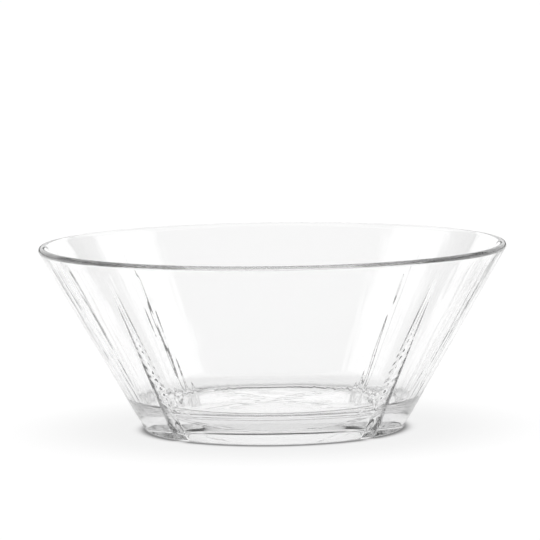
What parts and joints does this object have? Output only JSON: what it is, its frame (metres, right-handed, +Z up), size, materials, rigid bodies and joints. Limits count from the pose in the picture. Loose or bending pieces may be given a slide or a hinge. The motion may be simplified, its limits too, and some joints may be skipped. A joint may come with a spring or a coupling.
{
  "type": "glass serving bowl",
  "caption": "Clear pressed-glass serving bowl with a straight flared wall, a thick base and tapering flutes that run out below a rounded rim; holds fruit, salad or snacks on a table.",
  "frame": {"origin": "on the table, under the middle of the bowl", "axes": "+Z up along the bowl's axis; -Y faces the viewer, square to the middle of a plain panel; +X to the viewer's right, with a flute midway between each pair of axes"},
  "size_m": [0.26, 0.26, 0.103],
  "materials": {
    "clear_glass": "smooth fire-polished clear pressed glass"
  },
  "bodies": {
    "root": {"glass_bowl": "clear_glass"}
  },
  "joints": []
}
